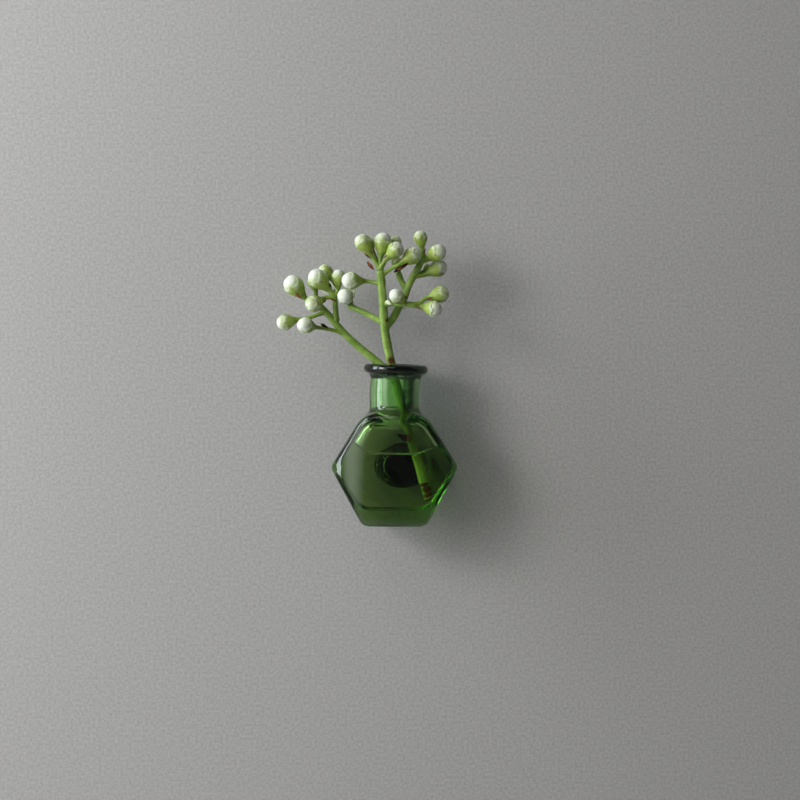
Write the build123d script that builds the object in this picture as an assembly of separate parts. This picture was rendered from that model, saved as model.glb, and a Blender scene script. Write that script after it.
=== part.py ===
from build123d import *
from math import cos, pi, radians, sin, sqrt, tan
import os

os.makedirs("parts", exist_ok=True)

# Glass body. From the front it is a hexagon that stands on one side,
# and from above its front and back follow an ellipse.
# The width is to the sharp corners, and the rounding takes 0.45 off each.
body_width = 40.9
base_width = 20.0
shoulder_width = 19.2
lower_height = 18.5
upper_height = 17.6
body_depth = 20.8
barrel_width = 41.6
corner_radius = 2.9
base_radius = 3.4
shoulder_radius = 8.0
edge_radius = 2.4

# Hollow inside the body
side_wall = 2.2
floor_wall = 5.0
hollow_corner_radius = 4.0
hollow_base_radius = 5.5
hollow_shoulder_radius = 6.0
hollow_edge_radius = 3.4

# Neck and rolled lip
neck_diameter = 16.0
neck_wall = 1.6
neck_rise = 15.2
foot_spread = 2.35
foot_drop = 1.85
foot_curve = 1.5
foot_angle = 55
lip_overhang = 2.25
lip_thickness = 3.0
lip_curve = 2.6
lip_angle = 50
mouth_curve = 1.9

# Magnet and the clear glue that holds it to the back of the glass
magnet_diameter = 12.0
magnet_thickness = 4.0
magnet_bevel = 0.3
magnet_shift = 1.8
glue_gap = 0.5
glue_width = 3.3
glue_climb = 1.5
glue_reach = 1.0
glue_curve = 3.6

# Cut flower sprig: lower stem in the water, stems and stalks above the rim
stem_foot_diameter = 2.9
stem_diameter = 2.6
stem_clearance = 0.2
knot_swell = 0.12
rim_shift = 0.5
foot_shift = 9.4
foot_depth = 5.0
foot_level = 10.9
sprig_spread = 56.0
sprig_depth = 14.0
sprig_rise = 43.0
branch_diameter = 2.3
twig_diameter = 1.8
stalk_diameter = 1.3
bud_diameter = 5.8

# Every cut runs past the faces it opens by this much
overrun = 1.0

neck_radius = neck_diameter / 2
bore_radius = neck_radius - neck_wall
lip_radius = neck_radius + lip_overhang
roll_radius = lip_thickness / 2
magnet_radius = magnet_diameter / 2
lip_top = upper_height + neck_rise
body_back = -magnet_thickness - glue_gap
vase_place = Pos(-magnet_shift, body_back - body_depth / 2, 0)


def hexagon(inset, floor):
    """Front outline of the body, drawn in by the wall and raised at the floor."""
    half_base = base_width / 2
    half_top = shoulder_width / 2
    corners = [
        (-half_base, -lower_height),
        (half_base, -lower_height),
        (body_width / 2, 0),
        (half_top, upper_height),
        (-half_top, upper_height),
        (-body_width / 2, 0),
    ]
    face = make_face(Polyline(*corners, close=True))
    if inset:
        face = offset(face, amount=-inset, kind=Kind.INTERSECTION)
        above_floor = Rectangle(
            body_width, lower_height + upper_height, align=(Align.CENTER, Align.MIN)
        )
        face = face & Pos(0, floor - lower_height) * above_floor
    return face


def rounded_body(inset, floor, corner, base, shoulder, edge):
    """Hexagonal prism cut to the barrel, with its corners and its long edges rounded."""
    face = hexagon(inset, floor)
    face = fillet(face.vertices().group_by(Axis.Y)[0], base)
    face = fillet(face.vertices().group_by(Axis.Y)[-1], shoulder)
    sides = face.vertices().group_by(Axis.X)
    face = fillet(sides[0] + sides[-1], corner)
    prism = extrude(Plane.XZ * face, amount=body_depth, both=True)
    plan = Ellipse(barrel_width / 2 - inset, body_depth / 2 - inset)
    barrel = extrude(
        Pos(0, 0, -lower_height - overrun) * plan,
        amount=lower_height + upper_height + 2 * overrun,
    )
    block = (prism & barrel).solid()
    faces = block.faces().sort_by(Axis.Y)
    return fillet(faces[0].edges() + faces[-1].edges(), edge)


def turned(curves):
    """Solid turned about the upright axis from a half outline in the XZ plane."""
    return revolve(Plane.XZ * make_face(Wire(curves)), axis=Axis.Z)


def neck_form():
    """Flared foot, straight neck and the fire-rounded roll of the lip."""
    bottom = upper_height - foot_drop
    foot_radius = neck_radius + foot_spread
    bend_radius = neck_radius + foot_curve * (1 - cos(radians(foot_angle)))
    bend_level = bottom + (foot_radius - bend_radius) / tan(radians(foot_angle))
    neck_start = bend_level + foot_curve * sin(radians(foot_angle))
    roll_centre = lip_radius - roll_radius
    roll_level = lip_top - roll_radius
    flare_radius = neck_radius + lip_curve * (1 - cos(radians(lip_angle)))
    flare_level = roll_level - sqrt(roll_radius**2 - (flare_radius - roll_centre) ** 2)
    neck_end = flare_level - lip_curve * sin(radians(lip_angle))
    foot_arc = CenterArc((neck_radius + foot_curve, neck_start), foot_curve, 180, foot_angle)
    lip_arc = CenterArc((neck_radius + lip_curve, neck_end), lip_curve, 180, -lip_angle)
    roll = ThreePointArc(
        (flare_radius, flare_level), (lip_radius, roll_level), (roll_centre, lip_top)
    )
    return turned([
        Line((0, bottom), (foot_radius, bottom)),
        Line((foot_radius, bottom), (bend_radius, bend_level)),
        foot_arc,
        Line((neck_radius, neck_start), (neck_radius, neck_end)),
        lip_arc,
        roll,
        Line((roll_centre, lip_top), (0, lip_top)),
        Line((0, lip_top), (0, bottom)),
    ])


def bore_form():
    """Straight bore with a rounded mouth, cut down into the hollow."""
    bottom = upper_height - side_wall - hollow_edge_radius
    mouth_start = lip_top - mouth_curve
    mouth_radius = bore_radius + mouth_curve
    top = lip_top + overrun
    return turned([
        Line((0, bottom), (bore_radius, bottom)),
        Line((bore_radius, bottom), (bore_radius, mouth_start)),
        CenterArc((mouth_radius, mouth_start), mouth_curve, 180, -90),
        Line((mouth_radius, lip_top), (mouth_radius, top)),
        Line((mouth_radius, top), (0, top)),
        Line((0, top), (0, bottom)),
    ])


outer_form = rounded_body(0, 0, corner_radius, base_radius, shoulder_radius, edge_radius)
outer_form = outer_form + neck_form()
hollow_form = rounded_body(
    side_wall,
    floor_wall,
    hollow_corner_radius,
    hollow_base_radius,
    hollow_shoulder_radius,
    hollow_edge_radius,
)
hollow_form = hollow_form + bore_form()
outer_form = vase_place * outer_form
glass_vase = outer_form - vase_place * hollow_form

# Magnet: a plain black disc whose rear face lies on the wall plane
disc = extrude(Plane.XZ * Circle(magnet_radius), amount=magnet_thickness)
rims = disc.edges().filter_by(GeomType.CIRCLE)
magnet_disc = chamfer(rims, magnet_bevel)

# Glue: fills the lens-shaped gap behind the barrel and climbs the side of the magnet
glue_radius = magnet_radius + glue_width
climb_level = glue_climb - magnet_thickness
edge_level = body_back - glue_reach
glue_bottom = body_back - body_depth / 2
slump = RadiusArc((magnet_radius, climb_level), (glue_radius, edge_level), -glue_curve)
glue_outline = Wire([
    Line((0, climb_level), (magnet_radius, climb_level)),
    slump,
    Line((glue_radius, edge_level), (glue_radius, glue_bottom)),
    Line((glue_radius, glue_bottom), (0, glue_bottom)),
    Line((0, glue_bottom), (0, climb_level)),
])
glue_pad = revolve(make_face(glue_outline), axis=Axis.Y) - disc - outer_form
glue_pad = glue_pad.solids().sort_by(Axis.Y)[-1]

# Sprig. Places are shares of its spread, depth and rise from the middle of the mouth.
mouth_place = vase_place * Pos(0, 0, lip_top)
left_shares = [
    (-0.020, -0.305, -0.085), (-0.096, -0.150, 0.012), (-0.195, -0.105, 0.120),
    (-0.280, -0.105, 0.220), (-0.330, -0.105, 0.295), (-0.390, -0.120, 0.390),
    (-0.435, -0.145, 0.440),
]
upright_shares = [(-0.330, -0.105, 0.310), (-0.335, -0.145, 0.405), (-0.340, -0.215, 0.500)]
middle_shares = [(-0.058, -0.530, 0.308), (-0.165, -0.420, 0.380), (-0.250, -0.300, 0.430)]
right_shares = [
    (-0.058, -0.515, 0.270), (-0.005, -0.370, 0.345), (0.015, -0.345, 0.405),
    (0.060, -0.330, 0.500), (0.070, -0.320, 0.560), (0.105, -0.320, 0.650),
    (0.135, -0.320, 0.715), (0.160, -0.320, 0.795),
]
rear_shares = [(0.070, -0.320, 0.560), (0.040, -0.310, 0.605), (0.025, -0.285, 0.660)]
front_shares = [(-0.065, -0.560, 0.450), (0.030, -0.630, 0.450), (0.105, -0.650, 0.440)]
main_shares = [
    (-0.035, -0.440, 0.110), (-0.055, -0.510, 0.255), (-0.062, -0.550, 0.405),
    (-0.070, -0.575, 0.550), (-0.080, -0.585, 0.700),
]
knot_shares = [0.147, 0.487, 1.08]

# Each bud: its number, middle, size as a share of the largest, foot of its green cup,
# and the run of its stalk back to the stem that carries it.
bud_shares = [
    (1, (-0.575, -0.215, 0.593), 1.04, (-0.510, -0.170, 0.495), [(-0.435, -0.145, 0.440)]),
    (2, (-0.625, -0.355, 0.310), 0.83, (-0.555, -0.300, 0.330),
        [(-0.490, -0.215, 0.340), (-0.390, -0.120, 0.390)]),
    (3, (-0.505, -0.570, 0.291), 0.85, (-0.450, -0.355, 0.276),
        [(-0.385, -0.230, 0.265), (-0.295, -0.105, 0.235)]),
    (4, (-0.459, -0.500, 0.446), 0.86, (-0.410, -0.320, 0.480), [(-0.340, -0.215, 0.500)]),
    (5, (-0.438, -0.285, 0.640), 1.02, (-0.380, -0.255, 0.565), [(-0.340, -0.215, 0.500)]),
    (6, (-0.460, 0.180, 0.620), 0.71, (-0.450, 0.085, 0.545),
        [(-0.445, -0.035, 0.480), (-0.420, -0.130, 0.420)]),
    (7, (-0.396, 0.090, 0.692), 0.77, (-0.350, -0.055, 0.620),
        [(-0.330, -0.145, 0.555), (-0.340, -0.215, 0.500)]),
    (8, (-0.315, -0.250, 0.655), 0.73, (-0.320, -0.235, 0.575), [(-0.340, -0.215, 0.500)]),
    (9, (-0.250, -0.660, 0.617), 0.90, (-0.170, -0.530, 0.615), [(-0.075, -0.565, 0.595)]),
    (10, (-0.279, -0.480, 0.502), 0.84, (-0.262, -0.285, 0.495), [(-0.250, -0.300, 0.430)]),
    (11, (-0.179, -0.500, 0.903), 0.87, (-0.145, -0.530, 0.830), [(-0.080, -0.570, 0.700)]),
    (12, (-0.140, -0.150, 0.900), 0.55, (-0.120, -0.290, 0.830), [(-0.080, -0.570, 0.700)]),
    (13, (-0.064, -0.465, 0.909), 0.94, (-0.075, -0.500, 0.815), [(-0.080, -0.570, 0.700)]),
    (14, (0.008, -0.200, 0.910), 0.60, (-0.015, -0.310, 0.850), [(-0.080, -0.570, 0.700)]),
    (15, (0.010, -0.680, 0.847), 0.83, (-0.035, -0.650, 0.785), [(-0.080, -0.570, 0.700)]),
    (16, (0.107, -0.550, 0.804), 0.90, (0.040, -0.630, 0.745),
        [(0.000, -0.615, 0.720), (-0.075, -0.570, 0.655)]),
    (17, (0.147, -0.320, 0.940), 0.72, (0.155, -0.320, 0.865), [(0.160, -0.320, 0.795)]),
    (18, (0.248, -0.465, 0.828), 0.88, (0.175, -0.345, 0.770), [(0.160, -0.340, 0.785)]),
    (19, (0.255, -0.215, 0.715), 0.88, (0.185, -0.285, 0.670), [(0.105, -0.320, 0.650)]),
    (20, (0.190, -0.035, 0.715), 0.44, (0.155, -0.160, 0.680), [(0.105, -0.320, 0.650)]),
    (21, (0.010, -0.820, 0.507), 0.77, (0.048, -0.680, 0.460), [(0.060, -0.640, 0.445)]),
    (22, (0.265, -0.605, 0.520), 0.87, (0.185, -0.645, 0.490),
        [(0.150, -0.645, 0.455), (0.105, -0.650, 0.440)]),
    (23, (0.225, -0.785, 0.410), 0.83, (0.160, -0.670, 0.425), [(0.105, -0.650, 0.440)]),
    (24, (0.010, -0.250, 0.760), 0.55, (0.020, -0.270, 0.695), [(0.025, -0.285, 0.660)]),
]


def spot(shares):
    """Point of the sprig from its shares of the spread, the depth and the rise."""
    across, deep, up = shares
    place = Pos(across * sprig_spread, deep * sprig_depth, up * sprig_rise)
    return (mouth_place * place).position


def tube(points, diameter):
    """Round stem through the points, each bend as wide as its two runs allow."""
    if len(points) > 2:
        radii = []
        for before, corner, after in zip(points, points[1:], points[2:]):
            first = corner - before
            second = after - corner
            half_turn = radians(first.get_angle(second)) / 2
            shorter = min(first.length, second.length)
            radii.append(0.45 * shorter / tan(half_turn))
        path = FilletPolyline(*points, radius=radii)
    else:
        path = Line(*points)
    start = Plane(origin=points[0], z_dir=points[1] - points[0])
    return sweep(start * Circle(diameter / 2), path=path)


def straight_taper(foot, top, foot_size, top_size):
    """Straight stem that narrows upwards."""
    height = (top - foot).length
    cone = Cone(foot_size / 2, top_size / 2, height, align=(Align.CENTER, Align.CENTER, Align.MIN))
    return Plane(origin=foot, z_dir=top - foot) * cone


# Main stem: it leans across the vase, its foot low at the back and its bend at the mouth
lean = bore_radius - stem_foot_diameter / 2 - knot_swell - stem_clearance
rim_point = mouth_place * Pos(-rim_shift, -sqrt(lean**2 - rim_shift**2), -mouth_curve)
foot_point = vase_place * Pos(foot_shift, foot_depth, -foot_level)
rim_spot = rim_point.position
foot_spot = foot_point.position
main_stem = straight_taper(foot_spot, rim_spot, stem_foot_diameter, stem_diameter)
main_stem = main_stem + tube([rim_spot] + [spot(p) for p in main_shares], stem_diameter)
main_stem = main_stem + Pos(*rim_spot) * Sphere(stem_diameter / 2)
for share in knot_shares:
    girth = stem_foot_diameter + (stem_diameter - stem_foot_diameter) * share
    knot = Pos(*(foot_spot + (rim_spot - foot_spot) * share)) * Sphere(girth / 2 + knot_swell)
    main_stem = main_stem + knot
main_stem = main_stem + Pos(*spot(main_shares[-1])) * Sphere(stem_diameter / 2 + knot_swell)

sprig = {"main_stem": main_stem}
branches = [
    ("left_branch", left_shares, branch_diameter),
    ("upright_twig", upright_shares, twig_diameter),
    ("middle_branch", middle_shares, twig_diameter),
    ("right_branch", right_shares, branch_diameter),
    ("rear_twig", rear_shares, twig_diameter),
    ("front_branch", front_shares, twig_diameter),
]
for name, shares, diameter in branches:
    points = [spot(p) for p in shares]
    branch = tube(points, diameter) + Pos(*points[-1]) * Sphere(diameter / 2)
    for grown in sprig.values():
        branch = branch - grown
    sprig[name] = branch.solids().sort_by(SortBy.VOLUME)[-1]

# Bud: a closed ball of petals in a pear-shaped green cup with a toothed rim,
# both drawn once for a ball of radius one
tooth_count = 5
cup_rim_share = 0.32
cup_side_shares = [(0.20, -2.15), (0.37, -1.65), (0.76, -0.98), (1.07, -0.20)]
cup_edge_shares = (1.03, cup_rim_share)
stalk_start_share = 1.75
notch_depth_share = 0.60
notch_half_share = 0.24
unit_ball = Sphere(1)
cup_side = Spline(*cup_side_shares, cup_edge_shares)
cup_inside = Polyline(
    cup_edge_shares, (0, cup_rim_share), (0, cup_side_shares[0][1]), cup_side_shares[0]
)
cup_outline = Wire(cup_inside.edges() + [cup_side])
unit_cup = revolve(Plane.XZ * make_face(cup_outline), axis=Axis.Z) - unit_ball
notch_face = make_face(Polyline(
    (-2 * notch_half_share, cup_rim_share + notch_depth_share),
    (0, cup_rim_share - notch_depth_share),
    (2 * notch_half_share, cup_rim_share + notch_depth_share),
    close=True,
))
notch = extrude(Plane.XZ * notch_face, amount=2 * cup_edge_shares[0])
unit_cup = unit_cup - PolarLocations(0, tooth_count) * notch
unit_cup = unit_cup.solids().sort_by(SortBy.VOLUME)[-1]

for number, middle, size, foot, run in bud_shares:
    place = Plane(origin=spot(middle), z_dir=spot(middle) - spot(foot))
    sprig[f"bud_{number:02d}"] = place * scale(unit_ball, by=bud_diameter / 2 * size)

# Each green cup grows from its stalk, and makes way for every stem, bud and cup before it
grown = list(sprig.values())
for number, middle, size, foot, run in bud_shares:
    radius = bud_diameter / 2 * size
    place = Plane(origin=spot(middle), z_dir=spot(middle) - spot(foot))
    stalk_start = place * Pos(0, 0, -stalk_start_share * radius)
    stalk = tube([stalk_start.position] + [spot(p) for p in run], stalk_diameter)
    calyx = place * scale(unit_cup, by=radius) + stalk
    for other in grown:
        calyx = calyx - other
    calyx = calyx.solids().sort_by(SortBy.VOLUME)[-1]
    grown.append(calyx)
    sprig[f"calyx_{number:02d}"] = calyx

pieces = {"glass_vase": glass_vase, "glue_pad": glue_pad, "magnet_disc": magnet_disc}
pieces.update(sprig)
for name, piece in pieces.items():
    export_step(piece, f"parts/{name}.step")
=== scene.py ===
import bpy
import numpy as np
from bpy.props import FloatProperty, FloatVectorProperty, PointerProperty
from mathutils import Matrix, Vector


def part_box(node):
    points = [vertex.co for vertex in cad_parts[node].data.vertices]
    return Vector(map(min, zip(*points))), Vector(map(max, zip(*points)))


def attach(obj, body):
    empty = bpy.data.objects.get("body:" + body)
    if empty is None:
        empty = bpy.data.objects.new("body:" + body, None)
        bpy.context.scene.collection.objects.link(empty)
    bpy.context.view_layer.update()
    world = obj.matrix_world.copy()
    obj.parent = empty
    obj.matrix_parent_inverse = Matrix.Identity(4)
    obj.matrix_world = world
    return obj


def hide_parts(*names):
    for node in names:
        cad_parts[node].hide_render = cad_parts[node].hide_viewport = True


bl_info = {
    "name": "Magnetic bud vase",
    "version": (1, 0, 0),
    "blender": (4, 5, 0),
    "location": "3D View > Sidebar > Bud vase",
    "description": "A small wall vase: green glass, water, glue, magnet and a cut flower sprig",
    "category": "Object",
}

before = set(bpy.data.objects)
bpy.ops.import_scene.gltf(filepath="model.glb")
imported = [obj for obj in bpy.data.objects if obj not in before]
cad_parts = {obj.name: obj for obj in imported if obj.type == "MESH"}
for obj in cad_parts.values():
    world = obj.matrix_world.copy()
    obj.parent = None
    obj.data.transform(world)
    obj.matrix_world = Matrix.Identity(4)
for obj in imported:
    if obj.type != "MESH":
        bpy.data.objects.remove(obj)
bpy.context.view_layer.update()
MM = 0.001
# The vase's upright axis, at the height of its side corners
CENTRE = np.array([-1.8, -14.9, 0.0]) * MM

# Rounds of the body in millimetres: side corners, base, shoulder, and where the ellipse cuts it
OUTSIDE_ROUNDS = (2.9, 3.4, 8.0, 2.4)
HOLLOW_ROUNDS = (4.0, 5.5, 6.0, 3.4)
NECK_FOOT = 6 * MM  # the neck and the bore reach down into the body to here
NECK_START = 21 * MM  # the rays that find the body end here, on the straight neck
REACH = 32 * MM  # no point of the glass is further from the axis
OUTSIDE_RINGS = (96, 62)  # rings that the turning rays find, and those that the climbing rays do
INSIDE_RINGS = (90, 46)
NECK_RINGS, BORE_RINGS, WATER_RINGS = 8, 12, 90
LIP_RINGS = 26  # rings of the lip that are as smooth as the outside
LIP_BEND = (24 * MM, 6 * MM)  # the lip's tilt and shift set in from here, over this height
HALVINGS = 26  # brings the reach down to less than a millionth of a millimetre

# Waves of the uneven glass: share of the whole, how many round it, drift per millimetre, start
RIPPLES = [(0.5, 2, 0.13, 1.0), (0.3, 3, -0.21, 0.0), (0.2, 5, 0.33, 2.0)]

# Points round each kind of piece, and how strongly water and glass bend light
ROUND = {"glass": 264, "water": 240, "glue": 12, "stem": 40, "bud": 60, "bract": 20}
WATER_IOR, GLASS_IOR = 1.333, 1.5

# The glue, in millimetres from the magnet's back: its level, its rim and its bubbles, both given a
# painted glow
GLUE_LEVEL, GLUE_RIM, GLUE_BUBBLES = -4.27, 4.75, 5.9

# Lines of the stems, in millimetres: the main stem starts at its cut foot in the water,
# and each branch has its thickness before its line
MAIN_LINE = [
    (8.4, -10.1, -10.8), (-2.3, -19.5, 30.9), (-3.76, -21.06, 37.53),
    (-4.88, -22.04, 43.77), (-5.27, -22.6, 50.22), (-5.72, -22.95, 56.45), (-6.28, -23.09, 62.9),
]
# Its swellings (place along it, size) and its scars (place, the way they face, length, spread)
MAIN_KNOTS = [(6.4, 0.16), (8.0, 0.10), (21.4, 0.2), (45.6, 0.14), (53, 0.08), (62, 0.1)]
MAIN_SCARS = [
    (1.9, (0.3, -1, 0), 0.6, 1.5), (3.9, (0.2, -1, 0), 0.95, 1.0),
    (5.8, (-0.2, -1, 0), 0.5, 1.1), (21.6, (-1.2, -1, 0), 1.3, 1.0),
    (47.6, (0.1, -1, 0), 1.0, 0.85), (60.5, (0.8, -0.6, 0), 0.5, 0.5),
]
BRANCH_LINES = {
    "left_branch": (2.3, [
        (-2.86, -19.15, 29.24), (-7.04, -16.95, 33.5), (-12.72, -16.37, 37.96),
        (-17.48, -16.37, 42.26), (-20.28, -16.37, 45.49), (-23.64, -16.58, 49.57),
        (-26.16, -16.93, 51.72),
    ]),
    "upright_twig": (1.8, [
        (-20.28, -16.37, 46.13), (-20.56, -16.93, 50.22), (-20.84, -17.91, 54.3),
    ]),
    "middle_branch": (1.8, [
        (-5.05, -22.32, 46.04), (-11.04, -20.78, 49.14), (-15.8, -19.12, 51.29),
    ]),
    "right_branch": (2.3, [
        (-5.05, -22.11, 44.41), (-2.08, -20.08, 47.64), (-0.96, -19.73, 50.22),
        (1.56, -19.52, 54.3), (2.12, -19.38, 56.88), (4.08, -19.38, 60.75),
        (5.76, -19.38, 63.55), (7.16, -19.38, 66.99),
    ]),
    "rear_twig": (1.8, [(2.12, -19.38, 56.88), (0.44, -19.24, 58.82), (-0.4, -18.89, 61.18)]),
    "front_branch": (1.8, [(-5.44, -22.74, 52.15), (-0.12, -23.72, 52.15), (4.08, -24.0, 51.72)]),
}

# Forks where several stalks meet
LEFT_FORK, TOP_FORK = (-20.8, -17.9, 54.3), (-6.3, -22.9, 62.9)
RIGHT_FORK, FRONT_FORK = (4.1, -19.4, 60.8), (4.1, -24.0, 51.7)

# Each flower bud: its number, the foot of its green cup, how far the white has opened,
# and the run of its stalk back to the stem that carries it, in millimetres
BUDS = [
    (1, (-30.4, -17.3, 54.1), 0.60, [(-26.2, -16.9, 51.7)]),
    (2, (-32.9, -19.1, 47.0), 0.35, [(-29.2, -17.9, 47.4), (-23.6, -16.6, 49.6)]),
    (3, (-27.0, -19.9, 44.7), 0.60, [(-23.4, -18.1, 44.2), (-18.3, -16.4, 42.9)]),
    (4, (-24.8, -19.4, 53.4), 0.00, [LEFT_FORK]),
    (5, (-23.1, -18.5, 57.1), 0.60, [LEFT_FORK]),
    (6, (-27.0, -13.7, 56.2), 0.25, [(-26.7, -15.4, 53.4), (-25.3, -16.7, 50.9)]),
    (7, (-21.4, -15.7, 59.5), 0.25, [(-20.3, -16.9, 56.7), LEFT_FORK]),
    (8, (-19.7, -18.2, 57.5), 0.45, [LEFT_FORK]),
    (9, (-11.3, -22.3, 59.2), 0.65, [(-6.0, -22.8, 58.4)]),
    (10, (-16.5, -18.9, 54.1), 0.60, [(-15.8, -19.1, 51.3)]),
    (11, (-9.9, -22.3, 68.5), 0.30, [TOP_FORK]),
    (12, (-8.5, -19.0, 68.5), 0.30, [TOP_FORK]),
    (13, (-6.0, -21.9, 67.8), 0.55, [TOP_FORK]),
    (14, (-2.6, -19.2, 69.3), 0.30, [TOP_FORK]),
    (15, (-3.8, -24.0, 66.6), 0.35, [TOP_FORK]),
    (16, (0.4, -23.7, 64.8), 0.45, [(-1.8, -23.5, 63.8), (-6.0, -22.9, 61.0)]),
    (17, (6.9, -19.4, 70.0), 0.20, [(7.2, -19.4, 67.0)]),
    (18, (8.0, -19.7, 65.9), 0.35, [(7.2, -19.7, 66.6)]),
    (19, (8.6, -18.9, 61.6), 1.00, [RIGHT_FORK]),
    (20, (6.9, -17.1, 62.0), 0.05, [RIGHT_FORK]),
    (21, (0.9, -24.4, 52.6), 0.65, [(1.6, -23.9, 51.9)]),
    (22, (8.6, -23.9, 53.9), 0.15, [(6.6, -23.9, 52.4), FRONT_FORK]),
    (23, (7.2, -24.3, 51.1), 0.55, [FRONT_FORK]),
    (24, (-0.7, -18.7, 62.7), 0.15, [(-0.4, -18.9, 61.2)]),
]

# Outline of a cup along the bud's axis, in radii of its ball of petals, and where the stalk's
# rings give way to the cup's
CUP_HEIGHTS = [-2.6, -2.15, -1.9, -1.65, -1.3, -0.98, -0.6, -0.2, 0.1, 0.32, 0.6, 0.8]
CUP_WIDTHS = [0.14, 0.20, 0.28, 0.37, 0.57, 0.76, 0.955, 1.065, 1.068, 1.025, 0.86, 0.67]
CUP_START, CUP_RINGS = -1.6, 30

# Dry bracts and threads left at the forks: kind, both ends in millimetres, width and curl
BRACTS = [
    ("rust", (-10.4, -23.2, 65.3), (-8.1, -23.4, 62.6), 1.10, 0.40),
    ("dark", (-2.0, -24.5, 61.9), (1.0, -25.5, 64.0), 1.05, 0.50),
    ("dark", (-0.5, -25.1, 62.6), (2.7, -25.9, 64.9), 1.00, 0.60),
    ("rust", (-1.0, -25.6, 62.7), (0.9, -26.3, 63.5), 0.45, 0.30),
    ("rust", (-33.4, -19.7, 55.6), (-30.7, -19.5, 53.4), 0.80, 0.20),
    ("rust", (-23.4, -20.9, 53.3), (-24.5, -21.3, 52.2), 0.55, 0.10),
    ("rust", (-22.2, -19.2, 53.8), (-20.3, -18.6, 52.8), 0.60, 0.20),
    ("dark", (-25.2, -19.6, 45.8), (-22.8, -18.8, 44.4), 0.90, 0.30),
    ("rust", (-11.3, -23.6, 67.9), (-9.0, -23.1, 66.1), 0.55, 0.10),
    ("dark", (-22.4, -20.4, 58.6), (-21.7, -20.5, 57.0), 0.60, 0.10),
    ("rust", (1.3, -25.4, 54.5), (2.4, -24.9, 53.5), 0.50, 0.10),
    ("rust", (5.2, -24.7, 51.2), (6.6, -25.4, 50.2), 0.60, 0.10),
    ("rust", (8.2, -25.6, 53.4), (10.6, -25.8, 54.2), 0.50, 0.10),
    ("rust", (7.4, -20.3, 67.8), (8.1, -20.5, 69.8), 0.50, 0.10),
    ("rust", (-5.2, -25.2, 66.3), (-3.9, -25.9, 67.4), 0.45, 0.10),
    ("rust", (-8.8, -23.6, 67.6), (-8.2, -22.4, 69.6), 0.45, 0.10),
    ("dark", (2.6, -14.8, 8.5), (-1.1, -16.3, 10.7), 1.80, 0.20),
    ("pale", (-4.6, -23.9, 52.9), (-2.7, -24.4, 51.7), 1.20, 0.30),
    ("pale", (-19.8, -19.6, 55.8), (-22.6, -20.8, 59.4), 0.45, 0.15),
    ("pale", (-14.7, -20.2, 53.9), (-13.6, -21.8, 57.0), 0.50, 0.60),
    ("pale", (-15.4, -21.2, 54.6), (-14.3, -22.2, 56.9), 0.70, 0.35),
    ("pale", (-25.0, -20.3, 56.4), (-22.2, -19.0, 54.6), 0.40, 0.15),
    ("pale", (-24.2, -20.9, 56.4), (-23.9, -20.9, 54.4), 0.22, 0.15),
]

# Water droplets on the sprig: middle and radius in millimetres
DROPLETS = [((-4.1, -23.9, 59.0), 0.50), ((1.3, -25.0, 50.9), 0.42), ((15.0, -23.8, 53.6), 0.85)]

# Lamps, all aimed at the vase: name, place and size in metres, tint, and whether its edge is soft
AIM = Vector((0, -0.01, 0.02))
WHITE = (1.0, 1.0, 1.0)
LAMPS = [
    ("window", (-0.55, -0.12, 0.24), (0.18, 0.64), (0.86, 0.94, 1.0), False),
    ("key", (-0.584, -0.457, 0.30), (0.22, 0.22), WHITE, False),
    ("panel", (-0.675, -0.60, 0.16), (0.80, 0.80), WHITE, True),
    ("top", (-0.28, -0.60, 0.72), (0.5, 0.5), WHITE, False),
]

# The camera: what it looks at, how far away it stands, how far it looks down, and its lens
TARGET = np.array([-0.04, -14.9, 21.4]) * MM
DISTANCE, PITCH, LENS_ANGLE = 0.7, np.radians(2.1), np.radians(20.7)


def length(name, text, size):
    """A length in metres that is given in millimetres."""
    return FloatProperty(name=name, description=text, default=size * MM, unit="LENGTH")


def watts(name, text, power):
    """The power of a lamp."""
    return FloatProperty(name=name, description=text, default=power, min=0, unit="POWER")


def colour(name, text, value):
    """A colour in linear light."""
    return FloatVectorProperty(
        name=name, description=text, default=value, size=3, min=0, max=1, subtype="COLOR"
    )


def turns(count):
    """Even steps once round, in radians."""
    return np.linspace(0, 2 * np.pi, count, endpoint=False)


def unit(vectors):
    """Vectors brought to a length of one."""
    return vectors / np.linalg.norm(vectors, axis=-1, keepdims=True)


def circle(around, first, second):
    """Points of a circle of radius one, from the two directions that it lies in."""
    return np.cos(around)[:, None] * first + np.sin(around)[:, None] * second


def bell(value, width):
    """One at nothing, falling away evenly on both sides."""
    return np.exp(-((value / width) ** 2))


def toned(tone, factor):
    """A colour made darker or lighter by a factor."""
    return tuple(min(factor * part, 1.0) for part in tone)


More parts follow.
